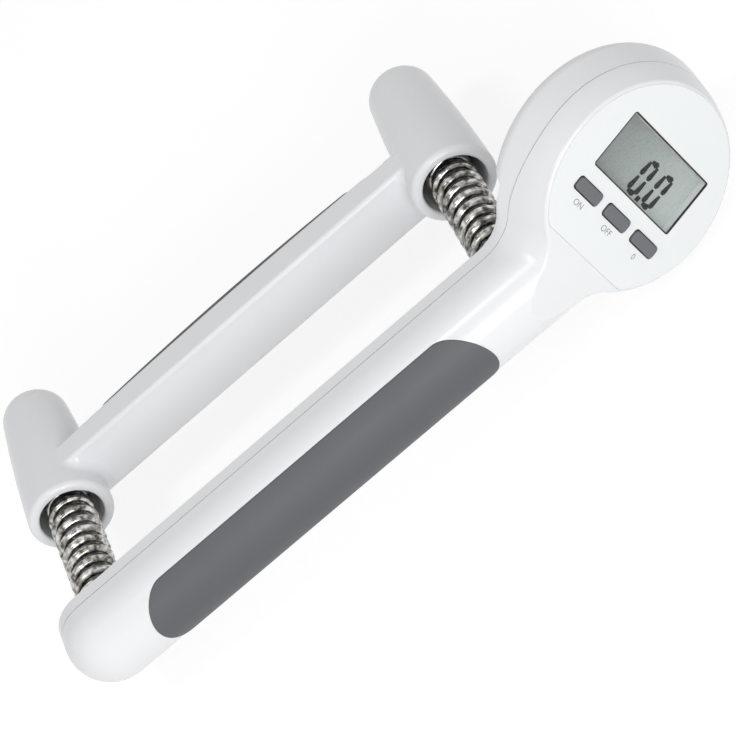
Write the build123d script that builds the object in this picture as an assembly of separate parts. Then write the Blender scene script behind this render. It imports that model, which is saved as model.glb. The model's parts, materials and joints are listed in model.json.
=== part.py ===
from build123d import *

import math
import os

# Hand dynamometer: a handle with a display head, and a squeeze bar carried on two springs.
# While it is modelled, X runs along the handle towards the head, Y from the handle's flat face
# towards the squeeze bar, and Z is normal to the plane of symmetry. All lengths are millimetres.

# Handle
spring_spacing = 130.0
handle_width = 23.2
handle_depth = 17.5
foot_overhang = 13.0
back_flat = 0.2
wall = 2.2

# Head, a tapered puck whose face leans towards the user
face_tilt = 15.7
face_x = 101.6
face_y = -7.1
face_radius = 26.0
seam_radius = 28.1
back_radius = 31.7
seam_depth = 5.0
head_depth = 18.0
rim_radius = 1.3
back_edge_radius = 4.0
neck_blend = 12.0
neck_end_x = 92.0
lobe_start_x = 78.0
lobe_arc = 12.0
lobe_rise = 0.3

# Parting line of the two housing shells
parting_depth = 3.35
parting_bend_x = 90.0
parting_bend_radius = 60.0
seam_gap = 0.3
lip_height = 1.6
lip_thickness = 0.9
lip_clearance = 0.1

# Rubber inlay on the round back of the handle
inlay_from_x = -53.8
inlay_to_x = 51.7
inlay_half_width = 9.7
inlay_thickness = 1.5
inlay_proud = 0.2
inlay_gap = 0.05

# Squeeze bar and its sleeves
mouth_y = 37.0
sleeve_end_y = 83.5
sleeve_mouth_radius = 11.3
sleeve_end_radius = 8.3
sleeve_swell = 0.5
sleeve_dome = 7.2
sleeve_bore = 8.45
mouth_round = 1.6
bore_round = 0.8
bar_inner_y = 44.8
bar_outer_end_y = 52.2
bar_rise = 1.7
bar_half_width = 8.55
bar_edge = 1.3
bar_fillet = 3.0
pad_half_length = 43.5
pad_half_width = 6.4
pad_thickness = 2.0
pad_proud = 0.7
pad_gap = 0.1

# Springs, guide rods and bushes
wire = 2.2
coil_radius = 5.37
coil_pitch = 3.9
wire_sides = 6
seat_recess = 0.6
bush_from_y = 49.5
bush_length = 6.0
rod_radius = 3.0
rod_running = 0.05
rod_end_gap = 1.0
clip_radius = 4.4
clip_thickness = 0.8
clip_gap = 0.3
rod_bore = 4.8
sleeve_end_wall = 3.5
squeeze_travel = 20.0
rod_end_y = sleeve_end_y - sleeve_end_wall - squeeze_travel - rod_end_gap

# Spring seats, load beam and its fixings
seat_radius = 7.0
seat_clearance = 0.25
seat_flange = 1.6
seat_stem_radius = 3.2
seat_stem_end_y = -6.0
rod_root_y = -4.0
beam_half_width = 3.5
beam_thickness = 4.0
beam_waist = 2.4
beam_waist_half_length = 9.0
beam_overhang = 5.0
beam_screw_x = 14.0
beam_post_radius = 3.2
gauge_length = 5.0
gauge_thickness = 0.3
screw_shank = 1.1
screw_hole = 1.15
screw_head_radius = 2.0
screw_head_height = 1.3
counterbore_radius = 2.25
boss_radius = 2.7
handle_screw_x = 42.0
handle_screw_z = 6.3
screw_length = 8.0
head_screw_a = 9.0
head_screw_z = 21.6

# Label panel, display and keys, on the face of the head
panel_radius = 25.4
panel_chord = -20.6
panel_corner = 3.0
panel_thickness = 0.7
panel_gap = 0.05
face_wall = 2.6
display_a = 4.3
display_height = 15.6
display_width = 32.0
display_corner = 0.8
display_ledge = 0.4
window_thickness = 0.6
lcd_thickness = 2.0
lcd_margin = 1.6
frame_wall = 0.8
frame_height = 2.8
strip_width = 1.4
board_depth = 6.4
board_thickness = 1.2
board_radius = 21.6
board_chord = -19.2
board_notch_gap = 0.25
board_post_radius = 2.0
board_post_a = 17.0
board_post_z = 11.0
key_a = -8.8
key_pitch = 11.9
key_length = 9.0
key_width = 3.1
key_corner = 1.0
key_proud = 0.6
key_gap = 0.3
key_flange = 0.7
key_flange_height = 0.8
key_travel = 0.7
key_rest_gap = 0.3
dome_radius = 2.0
dome_height = 0.9
key_depth = board_depth - dome_height - key_travel - key_rest_gap

# Coin cell, its holder and the twist-off door in the back of the head
door_a = 0.5
cell_radius = 10.0
cell_thickness = 3.2
cell_top = 15.4
cell_gap = 0.3
holder_wall = 1.0
holder_floor = 1.0
contact_radius = 1.6
door_radius = 13.0
door_gap = 0.2
door_thickness = 1.8
door_ring_radius = 17.0
door_ring_depth = 14.2
door_hole_radius = 11.6
lug_reach = 1.5
lug_root = 1.0
lug_thickness = 0.8
lug_depth = 1.0
lug_angle = 30.0
door_twist = 45.0
seal_thickness = 0.5
seal_width = 1.0
slot_length = 14.0
slot_width = 2.0
slot_depth = 0.9

half = handle_width / 2
spring_x = spring_spacing / 2
side_depth = handle_depth - half
foot_x = -spring_x - foot_overhang + half
tilt = math.radians(face_tilt)
face = Plane(
    origin=(face_x, face_y, 0),
    x_dir=(math.cos(tilt), math.sin(tilt), 0),
    z_dir=(math.sin(tilt), -math.cos(tilt), 0),
)
big = 400.0


def along_y(x, z, y_from, y_to, radius):
    # A round bar parallel to Y
    base = Plane(origin=(x, y_from, z), x_dir=(1, 0, 0), z_dir=(0, 1, 0))
    return base * extrude(Circle(radius), y_to - y_from)


def head_disc(a, z, depth_from, depth_to, radius):
    # A round bar square to the face, its ends given as depths behind the face
    return face * Pos(a, z, -depth_to) * extrude(Circle(radius), depth_to - depth_from)


def head_plate(a, z, depth_from, depth_to, height, width, corner):
    # A rounded plate parallel to the face, height along the handle and width across it
    outline = RectangleRounded(height, width, corner)
    return face * Pos(a, z, -depth_to) * extrude(outline, depth_to - depth_from)


def handle_section(x, inset):
    # The handle's D shape: flat at Y = 0 and round at the back
    width = half - inset
    back = -handle_depth + inset
    outline = Polyline((-inset, -width), (-inset, width), (back, width), (back, -width), close=True)
    shape = make_face(outline)
    back_corners = shape.vertices().sort_by(Axis.X)[:2]
    return Plane.YZ.offset(x) * fillet(back_corners, width - back_flat)


def handle_solid(inset):
    # The D-shaped handle: a ball end at the foot, and the face's plane cuts its neck end
    bar = extrude(handle_section(foot_x, inset), neck_end_x - foot_x)
    bar -= face * Pos(0, 0, big / 2 - inset) * Box(big, big, big)
    radius = half - inset
    back = -handle_depth + inset
    profile = make_face(Polyline((0, -inset), (radius, -inset), (radius, back), (0, back), close=True))
    outer_corner = profile.vertices().sort_by_distance((radius, back, 0))[:1]
    profile = fillet(outer_corner, radius - back_flat)
    ball = Pos(foot_x, 0, 0) * revolve(profile, Axis.Y)
    return bar + (ball - Pos(foot_x + big / 2, 0, 0) * Box(big, big, big))


def head_side_profile(inset):
    # Side view of the head: its back is rounded down to the flat side at the neck
    back_x = face_x - (head_depth + lobe_rise) * math.sin(tilt)
    back_y = face_y + (head_depth + lobe_rise) * math.cos(tilt)
    start_x = lobe_start_x + inset
    corner_y = back_y + (start_x - back_x) * math.tan(tilt)
    far_x = 180.0
    far_y = back_y + (far_x - back_x) * math.tan(tilt)
    low_y = -60.0
    lobe = make_face(
        Polyline((start_x, low_y), (start_x, corner_y), (far_x, far_y), (far_x, low_y), close=True)
    )
    lobe = fillet(lobe.vertices().sort_by_distance((start_x, corner_y, 0))[:1], lobe_arc - inset)
    below = make_face(
        Polyline((0, low_y), (0, -inset), (far_x, -inset), (far_x, low_y), close=True)
    )
    return extrude(lobe + below, big / 2, both=True)


def head_solid(inset):
    # A tapered puck, wider at the back, with a rounded back edge
    radius = face_radius - inset
    back = back_radius - inset
    front_depth = face_wall if inset else 0.0
    back_depth = head_depth - inset
    outline = Polyline(
        (0, -front_depth), (radius, -front_depth), (seam_radius - inset, -seam_depth),
        (back, -back_depth), (0, -back_depth), close=True,
    )
    profile = make_face(outline)
    corners = profile.vertices()
    profile = fillet(corners.sort_by_distance((back, -back_depth, 0))[:1], back_edge_radius - inset / 2)
    puck = revolve(Plane.XZ * profile, Axis.Z)
    return (face * puck) & head_side_profile(inset)


def parting_region(offset):
    # Everything on the bar side of the parting surface, which bends up to follow the face
    y = -parting_depth + offset
    far_x = 200.0
    line = FilletPolyline(
        (-120, y),
        (parting_bend_x, y),
        (far_x, y + (far_x - parting_bend_x) * math.tan(tilt)),
        radius=parting_bend_radius,
    )
    close = Polyline(line @ 1, (far_x, 100), (-120, 100), line @ 0)
    return extrude(make_face(line + close), big / 2, both=True)


def housing_body():
    # The outer form that both shells are cut from: handle and head blended at the neck
    def at_neck(edge):
        middle = edge @ 0.5
        beside = half / 2 < abs(middle.Z) < half + 1.0 and middle.Y < -0.1
        curved = edge.geom_type not in (GeomType.LINE, GeomType.ELLIPSE)
        return beside and curved and face_x - 2 * half > middle.X > lobe_start_x - half

    def on_face(edge):
        return all(abs(face.to_local_coords(edge @ share).Z) < 0.01 for share in (0, 0.5, 1))

    body = (handle_solid(0) + head_solid(0)).clean()
    body = fillet(body.edges().filter_by(at_neck), neck_blend)
    return fillet(body.edges().filter_by(on_face), rim_radius)


def cavity(inset):
    # The hollow inside both shells
    return handle_solid(inset) + head_solid(inset)


def handle_screw_places():
    return [(sx * handle_screw_x, sz * handle_screw_z) for sx in (-1, 1) for sz in (-1, 1)]


def head_screw_places():
    return [(head_screw_a, sz * head_screw_z) for sz in (-1, 1)]


def inlay_blank(inset, gap):
    # The band of the handle's back that the rubber inlay fills, down to inset below the surface
    outline = RectangleRounded(
        inlay_to_x - inlay_from_x + 2 * gap,
        2 * inlay_half_width + 2 * gap,
        inlay_half_width + gap - 0.1,
    )
    middle = (inlay_from_x + inlay_to_x) / 2
    base = Plane(origin=(middle, -side_depth, 0), x_dir=(1, 0, 0), z_dir=(0, -1, 0))
    block = base * extrude(outline, 2 * handle_depth)
    core = extrude(handle_section(-big / 2, inset), big)
    return block - core


def panel_outline(gap):
    # A disc cut by a chord, with rounded corners
    disc = Circle(panel_radius + gap)
    keep = Pos(panel_chord - gap + big / 2, 0) * Rectangle(big, big)
    outline = disc & keep
    corners = outline.vertices().sort_by(Axis.X)[:2]
    return fillet(corners, panel_corner)


def face_openings(depth_from, depth_to, grow, window_grow):
    # Prisms of the display opening and of the three key holes
    pieces = [
        head_plate(
            display_a, 0, depth_from, depth_to,
            display_height + 2 * window_grow, display_width + 2 * window_grow, display_corner,
        )
    ]
    for place in (-1, 0, 1):
        pieces.append(
            head_plate(
                key_a, place * key_pitch, depth_from, depth_to,
                key_width + 2 * grow, key_length + 2 * grow, key_corner,
            )
        )
    return pieces


def grip_shell(body, hollow):
    # Display side: the round back of the handle and the face of the head
    shell = body - hollow - parting_region(-seam_gap / 2)
    recess = face * Pos(0, 0, -panel_thickness) * extrude(panel_outline(panel_gap), 10.0)
    shell -= recess
    for opening in face_openings(-5.0, face_wall + 1.0, key_gap, -display_ledge):
        shell -= opening
    shell -= inlay_blank(inlay_thickness, inlay_gap)
    for x, z in handle_screw_places():
        boss = along_y(x, z, -handle_depth, -parting_depth - seam_gap / 2, boss_radius) & body
        shell += boss - inlay_blank(inlay_thickness, inlay_gap)
        shell -= along_y(x, z, -screw_length - 1.0, 1.0, screw_hole)
    for x in (-beam_screw_x, beam_screw_x):
        top = seat_stem_end_y - beam_thickness
        post = along_y(x, 0, -handle_depth, top, beam_post_radius) & body
        shell += post - inlay_blank(inlay_thickness, inlay_gap)
        shell -= along_y(x, 0, top - 4.0, top + 1.0, screw_hole)
    split = parting_region(-seam_gap / 2)
    for a, z in head_screw_places():
        boss = head_disc(a, z, panel_thickness + 0.5, head_depth, boss_radius) & body
        shell += boss - split
        shell -= head_disc(a, z, head_depth - 15.0, head_depth, screw_hole)
    for a in (-board_post_a, board_post_a):
        for z in (-board_post_z, board_post_z):
            shell += head_disc(a, z, panel_thickness + 0.5, board_depth, board_post_radius)
            shell -= head_disc(a, z, board_depth - 3.4, board_depth + 1.0, screw_hole)
    return shell


def back_shell(body, hollow):
    # Bar side: the flat cover with its spring holes and the back of the head
    upper = parting_region(seam_gap / 2)
    shell = (body & upper) - hollow
    ring = cavity(wall + lip_clearance) - cavity(wall + lip_clearance + lip_thickness)
    band = parting_region(-seam_gap / 2 - lip_height) - parting_region(seam_gap)
    shell += (ring & band) + ((cavity(wall) - cavity(wall + lip_clearance + lip_thickness))
                              & (parting_region(seam_gap / 2) - parting_region(seam_gap + 1.0)))
    for x, z in handle_screw_places():
        shell += along_y(x, z, -parting_depth + seam_gap / 2, -wall, boss_radius) & body
        shell -= along_y(x, z, -parting_depth - lip_height - 1.0, -parting_depth + seam_gap / 2,
                         boss_radius + 0.15)
        shell -= along_y(x, z, -handle_depth, 1.0, screw_hole)
        shell -= along_y(x, z, -screw_head_height, 1.0, counterbore_radius)
    for x in (-spring_x, spring_x):
        shell -= along_y(x, 0, -handle_depth, 1.0, seat_radius + seat_clearance)
    for a, z in head_screw_places():
        boss = head_disc(a, z, seam_depth, head_depth, boss_radius) & body
        shell += boss & upper
        shell -= head_disc(a, z, 0, head_depth, boss_radius + 0.15) - upper
        shell -= head_disc(a, z, 0, head_depth + 1.0, screw_hole)
        shell -= head_disc(a, z, head_depth - screw_head_height, head_depth + 1.0,
                           counterbore_radius)
    return cut_door_seat(shell, body)


def cut_door_seat(shell, body):
    # A thick ring round the battery opening, with a groove and three entry notches for the lugs
    shell += head_disc(door_a, 0, door_ring_depth, head_depth, door_ring_radius) & body
    shell -= head_disc(door_a, 0, 5.0, head_depth + 1.0, door_hole_radius)
    floor = head_depth - door_thickness - seal_thickness
    shell -= head_disc(door_a, 0, floor, head_depth + 1.0, door_radius + door_gap)
    reach = door_radius + lug_reach + door_gap
    groove_top = head_depth - lug_depth + 0.15
    groove_floor = head_depth - lug_depth - lug_thickness - 0.15
    shell -= head_disc(door_a, 0, groove_floor, groove_top, reach)
    for turn in range(3):
        wedge = lug_wedge(groove_floor, head_depth + 1.0, reach, 120.0 * turn + door_twist, 8.0)
        shell -= wedge
    return shell


def lug_wedge(depth_from, depth_to, radius, start, grow):
    # A sector about the door's axis, as wide as a lug plus grow degrees
    middle = math.radians(start)
    spread = math.radians(lug_angle / 2 + grow / 2)
    reach = radius / math.cos(spread)
    corners = [
        (reach * math.cos(middle + side), reach * math.sin(middle + side))
        for side in (-spread, spread)
    ]
    sector = make_face(Polyline((0, 0), *corners, close=True)) & Circle(radius)
    sector -= Circle(door_radius - lug_root)
    return face * Pos(door_a, 0, -depth_to) * extrude(sector, depth_to - depth_from)


def battery_door():
    # A round twist-off door with a coin slot and three lugs
    door = head_disc(door_a, 0, head_depth - door_thickness, head_depth, door_radius)
    for turn in range(3):
        door += lug_wedge(
            head_depth - lug_depth - lug_thickness, head_depth - lug_depth,
            door_radius + lug_reach, 120.0 * turn, 0.0,
        )
    slot = head_plate(
        door_a, 0, head_depth - slot_depth, head_depth + 1.0, slot_width, slot_length,
        slot_width / 2 - 0.05,
    )
    return door - slot


def door_seal():
    # A flat rubber ring under the door
    floor = head_depth - door_thickness - seal_thickness
    outer = head_disc(door_a, 0, floor, floor + seal_thickness - 0.05, door_radius - 0.1)
    return outer - head_disc(door_a, 0, floor - 1.0, head_depth, door_radius - 0.1 - seal_width)


def grip_inlay():
    # The soft rubber inlay, flush with the round back of the handle and a touch proud of it
    skin = handle_solid(-inlay_proud) & inlay_blank(inlay_thickness, 0)
    return skin


def label_panel():
    plate = face * Pos(0, 0, -panel_thickness) * extrude(panel_outline(0), panel_thickness)
    for opening in face_openings(-1.0, panel_thickness + 1.0, key_gap, 0):
        plate -= opening
    return plate


def display_window():
    return head_plate(
        display_a, 0, panel_thickness - window_thickness, panel_thickness,
        display_height - 0.1, display_width - 0.1, display_corner,
    )


def lcd_cell():
    return head_plate(
        display_a, 0, face_wall, face_wall + lcd_thickness,
        display_height + 2 * lcd_margin, display_width + 2 * lcd_margin, 0.5,
    )


def lcd_frame():
    # A frame that holds the glass against the inside of the face
    outer = head_plate(
        display_a, 0, face_wall, face_wall + frame_height,
        display_height + 2 * lcd_margin + 2 * frame_wall,
        display_width + 2 * lcd_margin + 2 * frame_wall, 0.8,
    )
    pocket = head_plate(
        display_a, 0, face_wall - 1.0, face_wall + lcd_thickness + 0.05,
        display_height + 2 * lcd_margin + 0.1, display_width + 2 * lcd_margin + 0.1, 0.5,
    )
    opening = head_plate(
        display_a, 0, face_wall, board_depth, display_height, display_width, 0.5,
    )
    return outer - pocket - opening - contact_strips()


def contact_strips():
    # Conductive rubber strips between the glass and the circuit board
    strips = []
    for side in (-1, 1):
        a = display_a + side * (display_height / 2 + lcd_margin - strip_width / 2)
        strips.append(
            head_plate(
                a, 0, face_wall + lcd_thickness + 0.05, board_depth - 0.02, strip_width,
                display_width, 0.3,
            )
        )
    return Compound(children=strips)


def circuit_board():
    board = head_disc(0, 0, board_depth, board_depth + board_thickness, board_radius)
    board -= face * Pos(board_chord - big / 2, 0, 0) * Box(big, big, big)
    for a, z in head_screw_places():
        board -= head_disc(a, z, 0, head_depth, boss_radius + board_notch_gap)
    for a in (-board_post_a, board_post_a):
        for z in (-board_post_z, board_post_z):
            board -= head_disc(a, z, board_depth - 1.0, board_depth + 3.0, screw_hole)
    return board


def board_screws():
    screws = []
    head_at = board_depth + board_thickness
    for a in (-board_post_a, board_post_a):
        for z in (-board_post_z, board_post_z):
            shank = head_disc(a, z, board_depth - 3.2, head_at, screw_shank)
            screws.append(shank + head_disc(a, z, head_at, head_at + 1.0, 1.8))
    return Compound(children=screws)


def key(place):
    # One rubber key: a cap through the face, a flange behind it and a stem towards its dome
    z = place * key_pitch
    cap = head_plate(key_a, z, -key_proud, face_wall + key_gap, key_width, key_length, key_corner)
    flange = head_plate(
        key_a, z, face_wall + key_gap, face_wall + key_gap + key_flange_height,
        key_width + 2 * key_gap + 2 * key_flange, key_length + 2 * key_gap + 2 * key_flange,
        key_corner,
    )
    top_edges = cap.faces().sort_by(Axis((0, 0, 0), tuple(face.z_dir)))[-1:].edges()
    cap = fillet(top_edges, 0.35)
    stem = head_disc(key_a, z, face_wall + key_gap, key_depth, dome_radius - 0.4)
    return cap + flange + stem


def key_domes():
    domes = []
    for place in (-1, 0, 1):
        domes.append(
            head_disc(key_a, place * key_pitch, board_depth - dome_height, board_depth, dome_radius)
        )
    return Compound(children=domes)


def coin_cell():
    return head_disc(door_a, 0, cell_top - cell_thickness, cell_top, cell_radius)


def cell_holder():
    # A cup on the back of the board that carries the coin cell
    top = cell_top - 0.4
    bottom = board_depth + board_thickness
    floor = cell_top - cell_thickness - 0.05
    cup = head_disc(door_a, 0, bottom, top, cell_radius + cell_gap + holder_wall)
    cup -= head_disc(door_a, 0, floor, top + 1.0, cell_radius + cell_gap)
    cup -= head_disc(door_a, 0, bottom - 1.0, floor - holder_floor, cell_radius - 1.0)
    return cup - head_disc(door_a, 0, bottom - 1.0, top, contact_radius + 0.1)


def cell_contact():
    bottom = board_depth + board_thickness
    return head_disc(door_a, 0, bottom, cell_top - cell_thickness, contact_radius)


def load_beam():
    # An aluminium beam: the springs load its ends, two screws hold it, its waist bends
    top = seat_stem_end_y
    length = spring_spacing + 2 * beam_overhang
    beam = Pos(0, top - beam_thickness / 2, 0) * Box(length, beam_thickness, 2 * beam_half_width)
    for side in (-1, 1):
        middle = side * (beam_screw_x + spring_x) / 2
        notch = Box(2 * beam_waist_half_length, beam_thickness, 2 * beam_half_width)
        beam -= Pos(middle, top - beam_waist - beam_thickness / 2, 0) * notch
        beam -= along_y(side * beam_screw_x, 0, top - 2 * beam_thickness, top + 1.0, screw_hole)
    return beam


def strain_gauges():
    gauges = []
    for side in (-1, 1):
        middle = side * (beam_screw_x + spring_x) / 2
        for face_side in (0, 1):
            y = seat_stem_end_y + gauge_thickness / 2
            if face_side:
                y = seat_stem_end_y - beam_waist - gauge_thickness / 2
            gauges.append(Pos(middle, y, 0) * Box(gauge_length, gauge_thickness, gauge_length))
    return Compound(children=gauges)


def beam_screws():
    screws = []
    for x in (-beam_screw_x, beam_screw_x):
        shank = along_y(x, 0, seat_stem_end_y - beam_thickness - 3.8, seat_stem_end_y, screw_shank)
        screws.append(shank + along_y(x, 0, seat_stem_end_y, seat_stem_end_y + 1.3, 2.0))
    return Compound(children=screws)


def shell_screws():
    # Pan-head screws in counterbores on the flat side and on the back of the head
    screws = []
    for x, z in handle_screw_places():
        head = along_y(x, z, -screw_head_height, -0.2, screw_head_radius)
        head -= along_y(x, z, -0.8, 1.0, 0.8)
        screws.append(head + along_y(x, z, -screw_length, -screw_head_height, screw_shank))
    for a, z in head_screw_places():
        top = head_depth - 0.2
        head = head_disc(a, z, head_depth - screw_head_height, top, screw_head_radius)
        head -= head_disc(a, z, top - 0.6, top + 1.0, 0.8)
        shank = head_disc(a, z, head_depth - 14.0, head_depth - screw_head_height, screw_shank)
        screws.append(head + shank)
    return Compound(children=screws)


def spring_seat(x):
    # A flanged seat that passes the spring's force to the end of the load beam
    flange = along_y(x, 0, -seat_recess - seat_flange, -seat_recess, seat_radius)
    stem = along_y(x, 0, seat_stem_end_y, -seat_recess - seat_flange, seat_stem_radius + 1.0)
    return flange + stem - along_y(x, 0, rod_root_y, 1.0, rod_radius + 0.01)


def guide_rod(x):
    rod = along_y(x, 0, rod_root_y, rod_end_y, rod_radius)
    return chamfer(rod.edges().sort_by(Axis.Y)[-1:], 0.5)


def rod_clips():
    clips = []
    low = bush_from_y + bush_length + clip_gap
    for x in (-spring_x, spring_x):
        ring = along_y(x, 0, low, low + clip_thickness, clip_radius)
        clips.append(ring - along_y(x, 0, low - 1.0, low + 2.0, rod_radius + 0.01))
    return Compound(children=clips)


def spring(x):
    # A compression spring with ground ends, standing between its seat and its bush
    low = -seat_recess + 0.02
    high = bush_from_y - 0.02
    length = high - low + 2 * coil_pitch
    path = Helix(pitch=coil_pitch, height=length, radius=coil_radius)
    start = Plane(origin=path @ 0, z_dir=path % 0, x_dir=(1, 0, 0))
    coil = sweep(start * RegularPolygon(wire / 2, wire_sides), path, is_frenet=True)
    upright = Plane(origin=(x, low - coil_pitch, 0), x_dir=(1, 0, 0), z_dir=(0, 1, 0)) * coil
    slab = along_y(x, 0, low, high, 2 * coil_radius)
    return upright & slab


def sleeve(x):
    # A tapered, domed sleeve that houses the upper end of a spring
    mouth = (sleeve_mouth_radius, mouth_y)
    end = (sleeve_end_radius, sleeve_end_y)
    bulge = ((mouth[0] + end[0]) / 2 + sleeve_swell, (mouth[1] + end[1]) / 2)
    side = ThreePointArc(mouth, bulge, end)
    profile = make_face(side + Polyline(end, (0, sleeve_end_y), (0, mouth_y), mouth))
    crown = profile.vertices().sort_by_distance((sleeve_end_radius, sleeve_end_y, 0))[:1]
    profile = fillet(crown, sleeve_dome)
    lip = profile.vertices().sort_by_distance((sleeve_mouth_radius, mouth_y, 0))[:1]
    profile = fillet(lip, mouth_round)
    return Pos(x, 0, 0) * revolve(profile, Axis.Y)


def bar_blank(grow, from_y):
    # The straight bar between the sleeves, with a gently arched outer side
    end = spring_x
    arch = ThreePointArc(
        (-end, bar_outer_end_y + grow), (0, bar_outer_end_y + bar_rise + grow),
        (end, bar_outer_end_y + grow),
    )
    sides = Polyline((end, bar_outer_end_y + grow), (end, from_y), (-end, from_y),
                     (-end, bar_outer_end_y + grow))
    return extrude(make_face(arch + sides), bar_half_width, both=True)


def pad_prism(gap):
    outline = RectangleRounded(
        2 * (pad_half_length + gap), 2 * (pad_half_width + gap), pad_half_width - 1.0
    )
    base = Plane(origin=(0, bar_inner_y, 0), x_dir=(1, 0, 0), z_dir=(0, 1, 0))
    return base * extrude(outline, 30.0)


def squeeze_bar():
    bar = bar_blank(0, bar_inner_y)
    long_edges = bar.edges().filter_by(Axis.X) + bar.edges().filter_by(GeomType.CIRCLE)
    bar = fillet(long_edges, bar_edge)
    for x in (-spring_x, spring_x):
        bar += sleeve(x)
    bar = blend_bar_to_sleeves(bar)
    bar -= pad_prism(pad_gap) - bar_blank(pad_proud - pad_thickness, 0)
    for x in (-spring_x, spring_x):
        bush_end = bush_from_y + bush_length
        bar -= along_y(x, 0, mouth_y - 1.0, bush_end, sleeve_bore)
        bar -= along_y(x, 0, mouth_y, sleeve_end_y - sleeve_end_wall, rod_bore)
    rims = bar.edges().filter_by(GeomType.CIRCLE)
    rims = rims.filter_by(lambda edge: abs(edge.center().Y - mouth_y) < 0.01)
    rims = rims.filter_by(lambda edge: abs(edge.radius - sleeve_bore) < 0.01)
    return fillet(rims, bore_round)


def blend_bar_to_sleeves(bar):
    # Round the inside corners where the bar meets its sleeves
    def is_corner(edge):
        middle = edge @ 0.5
        beside = abs(abs(middle.X) - spring_x) < sleeve_mouth_radius + 0.5
        level = bar_inner_y - 0.3 < middle.Y < bar_outer_end_y + 1.0
        return beside and level and abs(middle.X) < spring_x

    return fillet(bar.edges().filter_by(is_corner), bar_fillet)


def bar_pad():
    blank = bar_blank(pad_proud, 0) - bar_blank(pad_proud - pad_thickness, 0)
    return blank & pad_prism(0)


def bush(x):
    outer = along_y(x, 0, bush_from_y, bush_from_y + bush_length, sleeve_bore - 0.02)
    return outer - along_y(x, 0, bush_from_y - 1.0, rod_end_y + 5.0, rod_radius + rod_running)


def build():
    body = housing_body()
    hollow = cavity(wall)
    pieces = {
        "grip_shell": grip_shell(body, hollow),
        "back_shell": back_shell(body, hollow),
        "grip_inlay": grip_inlay(),
        "label_panel": label_panel(),
        "display_window": display_window(),
        "lcd_cell": lcd_cell(),
        "lcd_frame": lcd_frame(),
        "contact_strips": contact_strips(),
        "circuit_board": circuit_board(),
        "board_screws": board_screws(),
        "key_domes": key_domes(),
        "key_lower": key(-1),
        "key_middle": key(0),
        "key_upper": key(1),
        "coin_cell": coin_cell(),
        "cell_holder": cell_holder(),
        "cell_contact": cell_contact(),
        "battery_door": battery_door(),
        "door_seal": door_seal(),
        "load_beam": load_beam(),
        "strain_gauges": strain_gauges(),
        "beam_screws": beam_screws(),
        "shell_screws": shell_screws(),
        "rod_clips": rod_clips(),
        "squeeze_bar": squeeze_bar(),
        "bar_pad": bar_pad(),
    }
    for end, x in (("foot", -spring_x), ("neck", spring_x)):
        pieces["spring_seat_" + end] = spring_seat(x)
        pieces["guide_rod_" + end] = guide_rod(x)
        pieces["spring_" + end] = spring(x)
        pieces["bush_" + end] = bush(x)
    return pieces


def write(pieces):
    # The origin goes to the middle of the lowest level of the whole object
    box = Compound(children=[copy_of(piece) for piece in pieces.values()]).bounding_box()
    origin = (-(box.min.X + box.max.X) / 2, -(box.min.Y + box.max.Y) / 2, -box.min.Z)
    os.makedirs("parts", exist_ok=True)
    for name, piece in pieces.items():
        export_step(Pos(*origin) * copy_of(piece), "parts/" + name + ".step")
    print("origin shift", [round(value, 3) for value in origin])
    return origin


def copy_of(piece):
    solids = piece.solids()
    return solids[0] if len(solids) == 1 else Compound(children=list(solids))


origin_shift = write(build())
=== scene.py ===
# %% [markdown]
# # A hand dynamometer, dressed on its CAD frame
# The CAD part gives the true shapes and the joints. This lesson adds what the eye sees:
# finishes, springs of round wire, print and liquid crystal segments, soft light and the camera.
# Every piece is made in metres, right where the CAD model says, so nothing is fitted later.

import json
import math

import bmesh
import bpy
from mathutils import Matrix, Vector

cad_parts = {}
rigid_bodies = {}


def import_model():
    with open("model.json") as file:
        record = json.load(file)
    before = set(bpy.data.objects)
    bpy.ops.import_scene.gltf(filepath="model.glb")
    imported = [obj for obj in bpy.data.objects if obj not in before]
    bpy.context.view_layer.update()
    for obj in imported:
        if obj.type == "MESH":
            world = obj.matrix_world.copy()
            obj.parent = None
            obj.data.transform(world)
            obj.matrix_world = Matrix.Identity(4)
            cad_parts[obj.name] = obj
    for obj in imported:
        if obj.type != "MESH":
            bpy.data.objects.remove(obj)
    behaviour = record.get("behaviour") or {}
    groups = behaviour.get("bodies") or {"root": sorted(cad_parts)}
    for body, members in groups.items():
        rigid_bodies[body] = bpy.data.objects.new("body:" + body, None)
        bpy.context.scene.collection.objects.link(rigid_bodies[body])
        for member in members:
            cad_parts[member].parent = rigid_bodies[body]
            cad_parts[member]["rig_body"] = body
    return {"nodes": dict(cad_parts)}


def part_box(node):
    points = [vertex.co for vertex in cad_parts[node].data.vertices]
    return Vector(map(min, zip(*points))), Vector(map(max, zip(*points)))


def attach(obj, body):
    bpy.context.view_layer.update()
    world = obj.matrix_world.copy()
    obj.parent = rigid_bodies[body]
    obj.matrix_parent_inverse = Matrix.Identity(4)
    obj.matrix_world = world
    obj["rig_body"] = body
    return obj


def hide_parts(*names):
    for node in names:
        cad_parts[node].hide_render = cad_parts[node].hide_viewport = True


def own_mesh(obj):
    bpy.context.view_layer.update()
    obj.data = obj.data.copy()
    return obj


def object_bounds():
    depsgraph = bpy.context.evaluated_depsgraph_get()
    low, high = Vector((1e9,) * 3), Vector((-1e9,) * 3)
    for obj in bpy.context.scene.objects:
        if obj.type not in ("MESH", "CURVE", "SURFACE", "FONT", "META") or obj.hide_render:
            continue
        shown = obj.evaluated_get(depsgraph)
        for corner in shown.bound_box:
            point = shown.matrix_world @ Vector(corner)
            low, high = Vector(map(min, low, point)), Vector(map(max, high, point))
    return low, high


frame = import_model()
cad_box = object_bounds()

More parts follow.
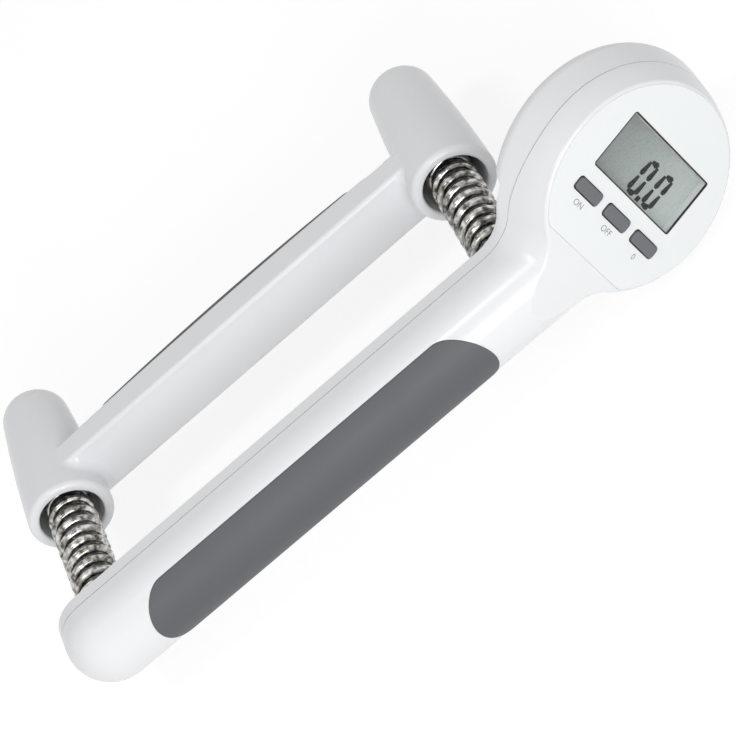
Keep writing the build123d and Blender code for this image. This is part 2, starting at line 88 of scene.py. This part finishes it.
# %% [markdown]
# ## Where things are
# The handle, its flat side and the two springs are the natural origin of this object: between
# the springs, on the flat side. The head's face leans 15.7 degrees from the handle, so print on
# it is laid out in a plane of its own. The two helpers turn millimetres into places in the frame.

# %% Places in millimetres
MM = 0.001
SEAT_RECESS = 0.6
seat_low, seat_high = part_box("spring_seat_foot")
neck_seat_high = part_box("spring_seat_neck")[1]
handle_middle = Vector((
    (seat_low.x + neck_seat_high.x) / 2,
    seat_high.y + SEAT_RECESS * MM,
    (seat_low.z + seat_high.z) / 2,
))
FACE_TILT = math.radians(15.7)
FACE_CENTRE = Vector((101.6, -7.1, 0.0))


def place(x, y, z):
    return handle_middle + Vector((x, y, z)) * MM


along_face = Vector((math.cos(FACE_TILT), math.sin(FACE_TILT), 0.0))
out_of_face = Vector((math.sin(FACE_TILT), -math.cos(FACE_TILT), 0.0))
face_origin = place(*FACE_CENTRE)
face_frame = Matrix((
    (0.0, along_face.x, out_of_face.x, face_origin.x),
    (0.0, along_face.y, out_of_face.y, face_origin.y),
    (-1.0, along_face.z, out_of_face.z, face_origin.z),
    (0.0, 0.0, 0.0, 1.0),
))
print("handle middle", [round(value, 4) for value in handle_middle])

# %% [markdown]
# ## The camera
# The photograph was taken with a long lens from the display's side, a little above, and the
# camera was rolled so that the handle runs steeply across the picture. Its matrix is written
# from three directions: right, up and back, which is clearer than three angles.

# %% Camera
camera_data = bpy.data.cameras.new("product_camera")
camera_data.lens = 135.99
camera_data.sensor_width = 36.0
camera_data.clip_start = 0.01
camera_data.clip_end = 20.0
camera = bpy.data.objects.new("product_camera", camera_data)
bpy.context.scene.collection.objects.link(camera)
view_right = Vector((0.74428, -0.31758, -0.58753))
view_down = Vector((-0.63636, -0.60425, -0.47951))
view_ahead = Vector((-0.20273, 0.73077, -0.65183))
turn = Matrix((view_right, -view_down, -view_ahead)).transposed().to_4x4()
camera.matrix_world = Matrix.Translation(place(158.54, -481.06, 435.30)) @ turn
bpy.context.scene.camera = camera
print("camera", [round(value, 3) for value in camera.matrix_world.translation])

# %% [markdown]
# ## Colours and nodes
# A colour is given as an sRGB hex value, and Blender calculates in linear light, so one
# function converts it. Materials are built from nodes, and one small function adds a node with
# its settings and links, which keeps each recipe readable.

# %% Helpers for colour and nodes


def srgb(code):
    parts = [int(code[start:start + 2], 16) / 255 for start in (1, 3, 5)]
    linear = [
        part / 12.92 if part <= 0.04045 else ((part + 0.055) / 1.055) ** 2.4 for part in parts
    ]
    return (*linear, 1.0)


def add(tree, kind, inputs=None, **settings):
    node = tree.nodes.new(kind)
    for key, value in settings.items():
        setattr(node, key, value)
    for key, value in (inputs or {}).items():
        if isinstance(value, bpy.types.NodeSocket):
            tree.links.new(value, node.inputs[key])
        else:
            node.inputs[key].default_value = value
    return node


def new_material(name, **fixed):
    material = bpy.data.materials.new(name)
    material.use_nodes = True
    shader = material.node_tree.nodes["Principled BSDF"]
    for key, value in fixed.items():
        shader.inputs[key.replace("_", " ")].default_value = value
    return material, material.node_tree, shader


def link(tree, output, shader, socket):
    tree.links.new(output, shader.inputs[socket])


def looked_at(tree):
    # 1 where the camera, a reflection or a look through glass meets the surface, 0 for light
    rays = add(tree, "ShaderNodeLightPath").outputs
    direct = add(tree, "ShaderNodeMath", {0: rays["Is Camera Ray"], 1: rays["Is Glossy Ray"]},
                 operation="MAXIMUM")
    through = add(tree, "ShaderNodeMath", {
        0: direct.outputs[0], 1: rays["Is Transmission Ray"],
    }, operation="MAXIMUM")
    return through.outputs[0]


print("white in linear light", srgb("#E6E8E8")[:3])

# %% [markdown]
# ## Light and floor
# The real picture is a studio shot: white all round, and one soft light that draws a bright
# streak on the shoulder of the neck. A world that is white to the camera and to reflections, but
# dimmer as a lamp, gives the background. Large area lamps give the form, and a floor keeps the
# soft shadow. The floor mixes paper with emission, at levels that together come to 1, white, where
# nothing shades it.

# %% World, lamps and floor
scene = bpy.context.scene
scene.view_settings.view_transform = "Standard"
AMBIENT = 0.545
LAMP_TARGET = (30.0, 15.0, 0.0)
FLOOR_HALF_SIZE = 3.0
FLOOR_DROP = 0.0005
SHADE_PART = 0.50
PAPER_LEVEL = 1.36
world = bpy.data.worlds.new("studio")
scene.world = world
world.use_nodes = True
sky = world.node_tree
sky.nodes.clear()
strength = add(sky, "ShaderNodeMapRange", {
    "Value": looked_at(sky), "To Min": AMBIENT, "To Max": 1.0,
})
glow = add(sky, "ShaderNodeBackground", {
    "Color": srgb("#FFFFFF"), "Strength": strength.outputs[0],
})
add(sky, "ShaderNodeOutputWorld", {"Surface": glow.outputs[0]})


def softbox(name, direction, distance, size, share):
    # The power for a wanted share of full white on a surface that faces the lamp
    data = bpy.data.lights.new(name, "AREA")
    data.shape = "RECTANGLE"
    data.size, data.size_y = size
    data.energy = share * math.pi ** 2 * distance ** 2
    lamp = bpy.data.objects.new(name, data)
    scene.collection.objects.link(lamp)
    direction = Vector(direction).normalized()
    target = place(*LAMP_TARGET)
    lamp.matrix_world = Matrix.Translation(target + direction * distance) @ (
        direction.to_track_quat("Z", "Y").to_matrix().to_4x4())
    return lamp


softbox("streak_softbox", (-0.203, -0.395, 0.897), 0.80, (0.22, 0.08), 0.12)
softbox("front_softbox", (0.10, -0.93, 0.36), 0.90, (0.60, 0.36), 0.465)

floor_bm = bmesh.new()
bmesh.ops.create_grid(floor_bm, x_segments=1, y_segments=1, size=FLOOR_HALF_SIZE)
floor_mesh = bpy.data.meshes.new("studio_floor")
bmesh.ops.translate(floor_bm, verts=floor_bm.verts, vec=(0.0, 0.0, cad_box[0][2] - FLOOR_DROP))
floor_bm.to_mesh(floor_mesh)
floor_bm.free()
floor = bpy.data.objects.new("studio_floor", floor_mesh)
scene.collection.objects.link(floor)
paper, tree, shader = new_material("white_paper_sweep", Roughness=0.9)
shader.inputs["Base Color"].default_value = srgb("#F4F4F4")
lit = add(tree, "ShaderNodeEmission", {"Color": srgb("#FFFFFF"), "Strength": PAPER_LEVEL})
share = add(tree, "ShaderNodeMath", {0: looked_at(tree), 1: 1.0 - SHADE_PART}, operation="MULTIPLY")
mixed = add(tree, "ShaderNodeMixShader", {
    0: share.outputs[0], 1: shader.outputs[0], 2: lit.outputs[0],
})
tree.links.new(mixed.outputs[0], tree.nodes["Material Output"].inputs["Surface"])
floor_mesh.materials.append(paper)

# %% [markdown]
# ## White housing: moulded ABS
# Handheld instruments are moulded in ABS with a polished tool, so the surface is white with a
# soft gloss. Close up it is not a mirror: the shrinkage of thick places leaves a slow waviness,
# and handling leaves faint differences in gloss. Noise drives both, at sizes of 14 mm and 0.5 mm.

# %% Glossy white ABS


def moulded_plastic(name, colour, low, high, ripple_mm, ripple, grain_mm, grain):
    # A plastic whose gloss varies slowly and whose surface has a slow ripple and a fine grain
    material, tree, shader = new_material(name, IOR=1.53)
    where = add(tree, "ShaderNodeTexCoord").outputs["Object"]
    slow = add(tree, "ShaderNodeTexNoise", {
        "Vector": where, "Scale": 1 / (ripple_mm * MM), "Detail": 3.0,
    })
    gloss = add(tree, "ShaderNodeMapRange", {
        "Value": slow.outputs["Fac"], "To Min": low, "To Max": high,
    })
    link(tree, gloss.outputs[0], shader, "Roughness")
    tint = add(tree, "ShaderNodeHueSaturation", {"Color": srgb(colour)})
    value = add(tree, "ShaderNodeMapRange", {
        "Value": slow.outputs["Fac"], "To Min": 0.985, "To Max": 1.015,
    })
    tree.links.new(value.outputs[0], tint.inputs["Value"])
    link(tree, tint.outputs["Color"], shader, "Base Color")
    fine = add(tree, "ShaderNodeTexNoise", {
        "Vector": where, "Scale": 1 / (grain_mm * MM), "Detail": 2.0,
    })
    wave = add(tree, "ShaderNodeBump", {
        "Height": slow.outputs["Fac"], "Strength": ripple, "Distance": 0.0002,
    })
    skin = add(tree, "ShaderNodeBump", {
        "Height": fine.outputs["Fac"], "Normal": wave.outputs["Normal"],
        "Strength": grain, "Distance": 0.00002,
    })
    link(tree, skin.outputs["Normal"], shader, "Normal")
    return material


white_abs = moulded_plastic(
    "moulded_abs_gloss_white", "#E5E6E8", 0.20, 0.30, 14.0, 0.05, 0.5, 0.10)
key_rubber = moulded_plastic(
    "silicone_rubber_key_grey", "#63666A", 0.48, 0.60, 6.0, 0.05, 0.25, 0.6)
soft_rubber = moulded_plastic(
    "moulded_tpe_soft_touch_grey", "#55585B", 0.50, 0.66, 9.0, 0.05, 0.22, 0.9)
label_film = moulded_plastic(
    "polyester_label_film_matt_white", "#E6E9E9", 0.32, 0.40, 20.0, 0.02, 0.3, 0.15)
black_abs = moulded_plastic("moulded_abs_black", "#1B1C1D", 0.35, 0.45, 8.0, 0.05, 0.3, 0.3)
dark_acetal = moulded_plastic("acetal_black", "#161718", 0.38, 0.48, 8.0, 0.05, 0.3, 0.3)
white_acetal = moulded_plastic("acetal_natural_white", "#D8D6D0", 0.34, 0.44, 8.0, 0.05, 0.3, 0.2)
seal_rubber = moulded_plastic("epdm_seal_rubber_black", "#202122", 0.60, 0.75, 5.0, 0.05, 0.2, 0.8)
print("plastics", len(bpy.data.materials) - 1)

# %% [markdown]
# ## Metals
# The springs are bright drawn wire, the screws are zinc plated and the beam is bare aluminium.
# A metal's colour comes from its base colour at full metallic, and its finish is its roughness.
# Drawing and turning leave uneven tone, gloss and relief, which one noise gives together. On the
# springs the tone's strong dark and bright streaks are painted reflection of dark surroundings.

# %% Steel, zinc and aluminium


def metal(name, tone_and_reflection_colours, low, high, grain_mm, depth_mm):
    # Darker and brighter streaks of one metal (on the springs, painted reflection), with gloss and
    # relief that follow them
    material, tree, shader = new_material(name, Metallic=1.0)
    where = add(tree, "ShaderNodeTexCoord").outputs["Object"]
    lines = add(tree, "ShaderNodeTexNoise", {
        "Vector": where, "Scale": 1 / (grain_mm * MM), "Detail": 4.0,
    })
    gloss = add(tree, "ShaderNodeMapRange", {
        "Value": lines.outputs["Fac"], "To Min": low, "To Max": high,
    })
    link(tree, gloss.outputs[0], shader, "Roughness")
    share = add(tree, "ShaderNodeMapRange", {
        "Value": lines.outputs["Fac"], "From Min": 0.35, "From Max": 0.65,
    })
    tone = add(tree, "ShaderNodeMix", {"Factor": share.outputs[0]}, data_type="RGBA")
    tone.inputs[6].default_value = srgb(tone_and_reflection_colours[0])
    tone.inputs[7].default_value = srgb(tone_and_reflection_colours[1])
    link(tree, tone.outputs[2], shader, "Base Color")
    bump = add(tree, "ShaderNodeBump", {
        "Height": lines.outputs["Fac"], "Strength": 0.4, "Distance": depth_mm * MM,
    })
    link(tree, bump.outputs["Normal"], shader, "Normal")
    return material


# painted reflection: the spring wire's strong dark and bright streaks stand for dark surroundings
# mirrored in it
spring_steel_painted_reflection = metal("nickel_plated_spring_wire", ("#55524B", "#DAD9D5"), 0.08, 0.26, 1.6, 0.03)
zinc_steel = metal("zinc_plated_screw_steel", ("#A0A2A6", "#C6C8CC"), 0.25, 0.40, 0.5, 0.01)
rod_steel = metal("ground_steel_rod", ("#77787A", "#9C9DA0"), 0.20, 0.30, 0.4, 0.005)
beam_aluminium = metal("milled_aluminium", ("#B5B7B9", "#D3D5D7"), 0.28, 0.42, 0.6, 0.01)
cell_steel = metal("stainless_cell_can", ("#B0B0AE", "#D0D0CE"), 0.18, 0.30, 0.5, 0.005)
contact_brass = metal("stamped_brass_contact", ("#B5934A", "#D6B569"), 0.22, 0.35, 0.4, 0.005)
key_steel = metal("stainless_snap_dome", ("#ABACAC", "#CDCECE"), 0.20, 0.32, 0.4, 0.005)
board_laminate = moulded_plastic(
    "glass_epoxy_laminate_green", "#2E6B48", 0.30, 0.45, 3.0, 0.05, 0.3, 0.4)
gauge_film = moulded_plastic("polyimide_gauge_film", "#B9822E", 0.25, 0.35, 2.0, 0.05, 0.3, 0.2)

# %% [markdown]
# ## Window and liquid crystal
# The display is a clear acrylic window, coated against reflections and so with a low index, over a
# grey-green liquid crystal cell. Its colour is painted darker at one end: painted shade, for the
# way its polariser lets less light through at a flat angle.

# %% Clear acrylic and liquid crystal
clear_window, tree, shader = new_material(
    "clear_acrylic", IOR=1.3, Roughness=0.03, Transmission_Weight=1.0)
where = add(tree, "ShaderNodeTexCoord").outputs["Object"]
haze = add(tree, "ShaderNodeTexNoise", {"Vector": where, "Scale": 1 / (12 * MM), "Detail": 2.0})
wave = add(tree, "ShaderNodeBump", {
    "Height": haze.outputs["Fac"], "Strength": 0.03, "Distance": 0.0001,
})
link(tree, wave.outputs["Normal"], shader, "Normal")
shader.inputs["Base Color"].default_value = srgb("#FFFFFF")

LCD_LENGTH = 32.0
lcd_glass, tree, shader = new_material("liquid_crystal_polariser", IOR=1.5, Roughness=0.28)
where = add(tree, "ShaderNodeTexCoord").outputs["Object"]
across = add(tree, "ShaderNodeSeparateXYZ", {"Vector": where})
middle_z = handle_middle.z
# painted shade: the cell's colour goes from darker at one end to lighter at the other
painted_shade_ramp = add(tree, "ShaderNodeMapRange", {
    "Value": across.outputs["Z"], "From Min": middle_z + LCD_LENGTH / 2 * MM,
    "From Max": middle_z - LCD_LENGTH / 2 * MM,
})
painted_shade_mix = add(tree, "ShaderNodeMix", {"Factor": painted_shade_ramp.outputs[0]}, data_type="RGBA")
painted_shade_mix.inputs[6].default_value = srgb("#7A817F")
painted_shade_mix.inputs[7].default_value = srgb("#B6C1BC")
speckle = add(tree, "ShaderNodeTexNoise", {"Vector": where, "Scale": 1 / (0.4 * MM), "Detail": 1.0})
gloss = add(tree, "ShaderNodeMapRange", {
    "Value": speckle.outputs["Fac"], "To Min": 0.22, "To Max": 0.34,
})
link(tree, gloss.outputs[0], shader, "Roughness")
link(tree, painted_shade_mix.outputs[2], shader, "Base Color")
print("materials", len(bpy.data.materials))

# %% [markdown]
# ## Dressing the CAD pieces
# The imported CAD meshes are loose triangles, exact in shape but faceted in shading. They must stay
# as they are, so each visible one gets a copy: its doubles are merged, its faces shaded smooth
# up to the real edges, and a weighted normal keeps the flat sides flat.

# %% Smooth copies of the visible CAD pieces
BODY_OF = {name: node["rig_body"] for name, node in frame["nodes"].items()}
MERGE_DISTANCE = 0.000002
SHARP_EDGE = 32.0


def finish_piece(piece, body, slot, *replaced):
    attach(piece, body)
    if replaced:
        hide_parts(*replaced)
    return piece


def dressed(node, material, slot):
    bm = bmesh.new()
    bm.from_mesh(frame["nodes"][node].data)
    bmesh.ops.remove_doubles(bm, verts=bm.verts, dist=MERGE_DISTANCE)
    for item in bm.faces:
        item.smooth = True
    mesh = bpy.data.meshes.new(node + "_finish")
    bm.to_mesh(mesh)
    bm.free()
    if "custom_normal" in mesh.attributes:
        mesh.attributes.remove(mesh.attributes["custom_normal"])
    mesh.materials.clear()
    mesh.materials.append(material)
    mesh.set_sharp_from_angle(angle=math.radians(SHARP_EDGE))
    piece = bpy.data.objects.new(node + "_finish", mesh)
    scene.collection.objects.link(piece)
    weighted = piece.modifiers.new("weighted", "WEIGHTED_NORMAL")
    weighted.keep_sharp = True
    return finish_piece(piece, BODY_OF[node], slot, node)


visible = [
    ("grip_shell", white_abs, "white_abs"),
    ("back_shell", white_abs, "white_abs"),
    ("squeeze_bar", white_abs, "white_abs"),
    ("battery_door", white_abs, "white_abs"),
    ("grip_inlay", soft_rubber, "soft_rubber"),
    ("label_panel", label_film, "label_film"),
    ("key_lower", key_rubber, "key_rubber"),
    ("key_middle", key_rubber, "key_rubber"),
    ("key_upper", key_rubber, "key_rubber"),
    ("display_window", clear_window, "clear_window"),
    ("lcd_cell", lcd_glass, "display_glass"),
    ("shell_screws", zinc_steel, "zinc_steel"),
    ("spring_seat_foot", dark_acetal, "dark_acetal"),
    ("spring_seat_neck", dark_acetal, "dark_acetal"),
    ("bush_foot", dark_acetal, "dark_acetal"),
    ("bush_neck", dark_acetal, "dark_acetal"),
    ("guide_rod_foot", rod_steel, "rod_steel"),
    ("guide_rod_neck", rod_steel, "rod_steel"),
]
for node, material, slot in visible:
    dressed(node, material, slot)
print("dressed", len(visible))

# %% [markdown]
# ## The pad on the bar
# The soft strip on the outer side of the bar sits in a pocket, and its cap laps over the bar and
# bulges in the middle, so that its edge shows as a thin dark line. A cube is cut across into
# slices, its lower and upper sides follow two arches, and its upper edges are bevelled. The root
# in the pocket is the CAD piece's own mesh, merged.

# %% Rubber pad with a lapping cap
BAR_OUTER = 52.2
BAR_RISE = 1.7
BAR_END = 65.0
CAP_HALF_LENGTH = 43.5
CAP_HALF_WIDTH = 7.9
CAP_EDGE = 0.5
CAP_BULGE = 0.65
CAP_SINK = 0.18
CAP_CORNER = 2.5
CAP_RIM = 0.3
CAP_SLICES = 9


def on_bar(x):
    return BAR_OUTER + BAR_RISE * (1 - (x / BAR_END) ** 2)


def cap_height(x):
    return CAP_EDGE + CAP_BULGE * (1 - (x / CAP_HALF_LENGTH) ** 2)


bm = bmesh.new()
bmesh.ops.create_cube(bm, size=1.0)
bmesh.ops.scale(bm, verts=bm.verts, vec=(2 * CAP_HALF_LENGTH, 1.0, 2 * CAP_HALF_WIDTH))
corners = [edge for edge in bm.edges if abs(edge.verts[0].co.y - edge.verts[1].co.y) > 0.5]
bmesh.ops.bevel(bm, geom=corners, offset=CAP_CORNER, segments=5, profile=0.5, affect="EDGES",
                material=-1)
for cut in range(1 - CAP_SLICES, CAP_SLICES):
    bmesh.ops.bisect_plane(bm, geom=bm.verts[:] + bm.edges[:] + bm.faces[:],
                           plane_co=(cut * CAP_HALF_LENGTH / CAP_SLICES, 0, 0), plane_no=(1, 0, 0))
for vert in bm.verts:
    lift = cap_height(vert.co.x) if vert.co.y > 0 else -CAP_SINK
    vert.co.y = on_bar(vert.co.x) + lift
rim = [edge for edge in bm.edges if edge.is_manifold and edge.calc_face_angle() > 1.0
       and edge.verts[0].co.y - on_bar(edge.verts[0].co.x) > 0.1
       and edge.verts[1].co.y - on_bar(edge.verts[1].co.x) > 0.1]
bmesh.ops.bevel(bm, geom=rim, offset=CAP_RIM, segments=3, profile=0.5, affect="EDGES", material=-1)
to_metres = Matrix.Translation(handle_middle) @ Matrix.Diagonal((MM, MM, MM, 1.0))
bmesh.ops.transform(bm, matrix=to_metres, verts=bm.verts)
bm.from_mesh(frame["nodes"]["bar_pad"].data)
bmesh.ops.remove_doubles(bm, verts=bm.verts, dist=MERGE_DISTANCE)
for item in bm.faces:
    item.smooth = True
pad_mesh = bpy.data.meshes.new("bar_pad_rubber")
bm.to_mesh(pad_mesh)
bm.free()
if "custom_normal" in pad_mesh.attributes:
    pad_mesh.attributes.remove(pad_mesh.attributes["custom_normal"])
pad_mesh.materials.clear()
pad_mesh.materials.append(soft_rubber)
pad_mesh.set_sharp_from_angle(angle=math.radians(40))
pad = bpy.data.objects.new("bar_pad_rubber", pad_mesh)
scene.collection.objects.link(pad)
finish_piece(pad, "bar", "soft_rubber", "bar_pad")
print("pad faces", len(pad_mesh.polygons))

# %% [markdown]
# ## Pieces inside
# What hides inside still gets its finish, since the model can be opened. Its shape is right as it
# is, so the material goes straight into the CAD object's slots.

# %% Finishes of the inner pieces
inner = {
    "circuit_board": board_laminate, "board_screws": zinc_steel, "key_domes": key_steel,
    "coin_cell": cell_steel, "cell_holder": black_abs, "cell_contact": contact_brass,
    "door_seal": seal_rubber, "load_beam": beam_aluminium, "strain_gauges": gauge_film,
    "beam_screws": zinc_steel, "rod_clips": rod_steel, "lcd_frame": black_abs,
    "contact_strips": seal_rubber,
}
for node, material in inner.items():
    data = frame["nodes"][node].data
    data.materials.clear()
    data.materials.append(material)
print("inner", len(inner))

# %% [markdown]
# ## Springs
# Each spring is round wire of 2.4 mm coiled at a 3.9 mm pitch, with its ends ground flat. A spin
# with a small lift at every step sweeps a circle into the coil, and two planes grind the ends.

# %% Coil the springs
WIRE_RADIUS = 1.22
COIL_RADIUS = 5.24
COIL_PITCH = 3.9
STEPS_PER_TURN = 36
WIRE_SIDES = 14
GRIND = 0.00001
GROUND_EDGE = 50.0
SPRING_X = 65.0


def coil_spring(node, x):
    low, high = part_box(node)
    length = high.y - low.y
    turns = length / (COIL_PITCH * MM) + 2
    bm = bmesh.new()
    ring = bmesh.ops.create_circle(bm, segments=WIRE_SIDES, radius=WIRE_RADIUS * MM)
    start = Matrix.Translation(Vector((
        place(x, 0, 0).x + COIL_RADIUS * MM, low.y - COIL_PITCH * MM, handle_middle.z)))
    bmesh.ops.transform(bm, matrix=start, verts=ring["verts"])
    steps = round(turns * STEPS_PER_TURN)
    bmesh.ops.spin(
        bm, geom=bm.verts[:] + bm.edges[:], cent=(place(x, 0, 0).x, low.y, handle_middle.z),
        axis=(0, 1, 0), dvec=(0, COIL_PITCH * MM / STEPS_PER_TURN, 0),
        angle=math.tau * steps / STEPS_PER_TURN, steps=steps, use_merge=False, use_duplicate=False,
    )
    for level, side in ((low.y + GRIND, -1), (high.y - GRIND, 1)):
        geometry = bm.verts[:] + bm.edges[:] + bm.faces[:]
        bmesh.ops.bisect_plane(
            bm, geom=geometry, plane_co=(0, level, 0), plane_no=(0, side, 0), clear_outer=True)
        rim = [edge for edge in bm.edges if edge.is_boundary]
        bmesh.ops.holes_fill(bm, edges=rim, sides=0)
    bmesh.ops.recalc_face_normals(bm, faces=bm.faces)
    for item in bm.faces:
        item.smooth = True
    mesh = bpy.data.meshes.new(node + "_wire")
    bm.to_mesh(mesh)
    bm.free()
    mesh.set_sharp_from_angle(angle=math.radians(GROUND_EDGE))
    mesh.materials.append(spring_steel_painted_reflection)
    piece = bpy.data.objects.new(node + "_wire", mesh)
    scene.collection.objects.link(piece)
    finish_piece(piece, "housing", "spring_chrome", node)
    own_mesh(piece)
    return piece, turns


for node, x in (("spring_foot", -SPRING_X), ("spring_neck", SPRING_X)):
    piece, turns = coil_spring(node, x)
    print(piece.name, "turns", round(turns, 1), "faces", len(piece.data.polygons))

# %% [markdown]
# ## Digits of the display
# The display shows 0.0 in seven-segment digits, which stand toward one end of the cell. A segment
# is a thin bar with pointed ends: a six-sided circle drawn out into a long hexagon, moved to its
# place, slanted a little and given a thickness, just over the cell.

# %% Seven-segment zeros
DIGIT_HEIGHT = 10.0
DIGIT_WIDTH = 4.3
DIGIT_STROKE = 1.4
DIGIT_SLANT = 0.09
DIGIT_LEFT = 0.3
DIGIT_PITCH = 6.3
DISPLAY_A = 4.3
DISPLAY_HEIGHT = 15.6
DIGIT_BASE = DISPLAY_A - DISPLAY_HEIGHT / 2 + 1.0
UPRIGHT_GAP = 0.3
LEVEL_GAP = 0.2
DOT_SHARE = 0.7
DIGIT_THICKNESS = 0.04
DIGIT_LIFT = 0.05
CELL_DEPTH = 2.6
ink, tree, shader = new_material("liquid_crystal_dark_segment", IOR=1.2, Roughness=0.5)
where = add(tree, "ShaderNodeTexCoord").outputs["Object"]
grain = add(tree, "ShaderNodeTexNoise", {"Vector": where, "Scale": 1 / (0.3 * MM)})
tone = add(tree, "ShaderNodeMix", {"Factor": grain.outputs["Fac"]}, data_type="RGBA")
tone.inputs[6].default_value = srgb("#030404")
tone.inputs[7].default_value = srgb("#0A0C0C")
link(tree, tone.outputs[2], shader, "Base Color")


def segment(bm, x, y, length, upright):
    # A bar with pointed ends: a long hexagon
    point = DIGIT_STROKE / math.sqrt(3)
    verts = bmesh.ops.create_circle(bm, cap_ends=True, segments=6, radius=point)["verts"]
    stretch = length / 2 - point
    for vert in verts:
        vert.co.x, vert.co.y = vert.co.y, vert.co.x
    for vert in verts:
        vert.co.y += stretch if vert.co.y > 0 else -stretch
    if not upright:
        bmesh.ops.rotate(bm, verts=verts, matrix=Matrix.Rotation(math.pi / 2, 3, "Z"))
    bmesh.ops.translate(bm, verts=verts, vec=(x, y, 0))


def to_face(bm, depth):
    # From a flat drawing in millimetres to the head's face, depth millimetres behind it
    flat = Matrix.Diagonal((MM, MM, MM, 1.0))
    bmesh.ops.transform(bm, matrix=face_frame @ Matrix.Translation((0, 0, -depth * MM)) @ flat,
                        verts=bm.verts)


def piece_from(bm, name, material, body, slot):
    bmesh.ops.recalc_face_normals(bm, faces=bm.faces)
    for item in bm.faces:
        item.smooth = False
    mesh = bpy.data.meshes.new(name)
    bm.to_mesh(mesh)
    bm.free()
    mesh.materials.append(material)
    piece = bpy.data.objects.new(name, mesh)
    scene.collection.objects.link(piece)
    return finish_piece(piece, body, slot)


bm = bmesh.new()
reach_x = (DIGIT_WIDTH - DIGIT_STROKE) / 2
half_high = (DIGIT_HEIGHT - DIGIT_STROKE) / 2
for place_x in (DIGIT_LEFT, DIGIT_LEFT + DIGIT_PITCH):
    for side in (-1, 1):
        for part in (0.5, 1.5):
            middle = DIGIT_BASE + half_high * part + DIGIT_STROKE / 2
            segment(bm, place_x + side * reach_x, middle, half_high - UPRIGHT_GAP, True)
        level = DIGIT_BASE + DIGIT_STROKE / 2 + (half_high * 2 if side > 0 else 0)
        segment(bm, place_x, level, 2 * reach_x - LEVEL_GAP, False)
dot = bmesh.ops.create_circle(bm, cap_ends=True, segments=4, radius=DIGIT_STROKE * DOT_SHARE)
bmesh.ops.rotate(bm, verts=dot["verts"], matrix=Matrix.Rotation(math.pi / 4, 3, "Z"))
bmesh.ops.translate(bm, verts=dot["verts"], vec=(
    DIGIT_LEFT + DIGIT_PITCH / 2, DIGIT_BASE + DIGIT_STROKE / 2, 0))
for vert in bm.verts:
    vert.co.x += DIGIT_SLANT * (vert.co.y - DIGIT_BASE)
bmesh.ops.solidify(bm, geom=bm.faces[:], thickness=DIGIT_THICKNESS)
to_face(bm, CELL_DEPTH - DIGIT_LIFT)
digits = piece_from(bm, "display_digits", ink, "housing", "display_glass")
print("digit faces", len(digits.data.polygons))

# %% [markdown]
# ## Dark liner round the display: painted shade
# A thin dark liner lines the walls of the opening, round the window's edge and down to the cell.
# It is painted shade: it darkens the display's rim on the two sides whose recess walls face the
# camera and lie in shade. A flat sheet is inset, its middle is taken out, and the frame gets its
# height.

# %% Display liner of painted shade
SHADE_LINER_WALL = 0.32
SHADE_LINER_LEDGE = 0.03
SHADE_LINER_TOP = 0.05
SHADE_LINER_LIFT = 0.01
DISPLAY_WIDTH = 32.0
bm = bmesh.new()
bmesh.ops.create_grid(bm, x_segments=1, y_segments=1, size=0.5)
bmesh.ops.scale(bm, verts=bm.verts, vec=(
    DISPLAY_WIDTH - 2 * SHADE_LINER_LEDGE, DISPLAY_HEIGHT - 2 * SHADE_LINER_LEDGE, 1.0))
middle_face = bm.faces[:]
bmesh.ops.inset_region(bm, faces=middle_face, thickness=SHADE_LINER_WALL, use_boundary=True,
                       use_even_offset=True)
bmesh.ops.delete(bm, geom=middle_face, context="FACES")
tall = bmesh.ops.extrude_face_region(bm, geom=bm.faces[:])
raised = [item for item in tall["geom"] if isinstance(item, bmesh.types.BMVert)]
bmesh.ops.translate(bm, verts=raised, vec=(0, 0, CELL_DEPTH - SHADE_LINER_TOP))
bmesh.ops.translate(bm, verts=bm.verts, vec=(0, DISPLAY_A, 0))
to_face(bm, CELL_DEPTH - SHADE_LINER_LIFT)
# painted shade: a dark liner on the opening's walls stands for their shade
shade_liner = piece_from(bm, "display_painted_shade_liner", seal_rubber, "housing", "seal_rubber")
print("gasket faces", len(shade_liner.data.polygons))

# %% [markdown]
# ## Print on the label
# Each key has a small grey caption beside it. The captions here are the plainest there are: ON,
# OFF and 0. A text object is made a mesh first, and only then put in its place on the face.

# %% Key captions
CAPTION_HEIGHT = 2.2
CAPTION_A = -12.6
KEY_PITCH = 11.9
PRINT_DEPTH = 0.01
PRINT_LIFT = 0.011
PRINT_MERGE = 0.0001
CAPTIONS = (("upper", "ON", -1), ("middle", "OFF", 0), ("lower", "0", 1))
print_ink, tree, shader = new_material("screen_print_ink_grey", IOR=1.5)
where = add(tree, "ShaderNodeTexCoord").outputs["Object"]
grain = add(tree, "ShaderNodeTexNoise", {"Vector": where, "Scale": 1 / (0.25 * MM)})
gloss = add(tree, "ShaderNodeMapRange", {
    "Value": grain.outputs["Fac"], "To Min": 0.45, "To Max": 0.6,
})
link(tree, gloss.outputs[0], shader, "Roughness")
tone = add(tree, "ShaderNodeMix", {"Factor": grain.outputs["Fac"]}, data_type="RGBA")
tone.inputs[6].default_value = srgb("#7C8184")
tone.inputs[7].default_value = srgb("#969B9E")
link(tree, tone.outputs[2], shader, "Base Color")
for key_name, words, side in CAPTIONS:
    text = bpy.data.curves.new("caption", "FONT")
    text.body = words
    text.size = CAPTION_HEIGHT
    text.align_x = "CENTER"
    text.align_y = "CENTER"
    text.extrude = PRINT_DEPTH
    carrier = bpy.data.objects.new("caption", text)
    scene.collection.objects.link(carrier)
    flat_print = bpy.data.meshes.new_from_object(carrier)
    bpy.data.objects.remove(carrier)
    bm = bmesh.new()
    bm.from_mesh(flat_print)
    bmesh.ops.remove_doubles(bm, verts=bm.verts, dist=PRINT_MERGE)
    bmesh.ops.translate(bm, verts=bm.verts, vec=(side * KEY_PITCH, CAPTION_A, 0))
    to_face(bm, -PRINT_LIFT)
    piece_from(bm, "caption_" + key_name, print_ink, "housing", "label_film")
print("captions", len(CAPTIONS))
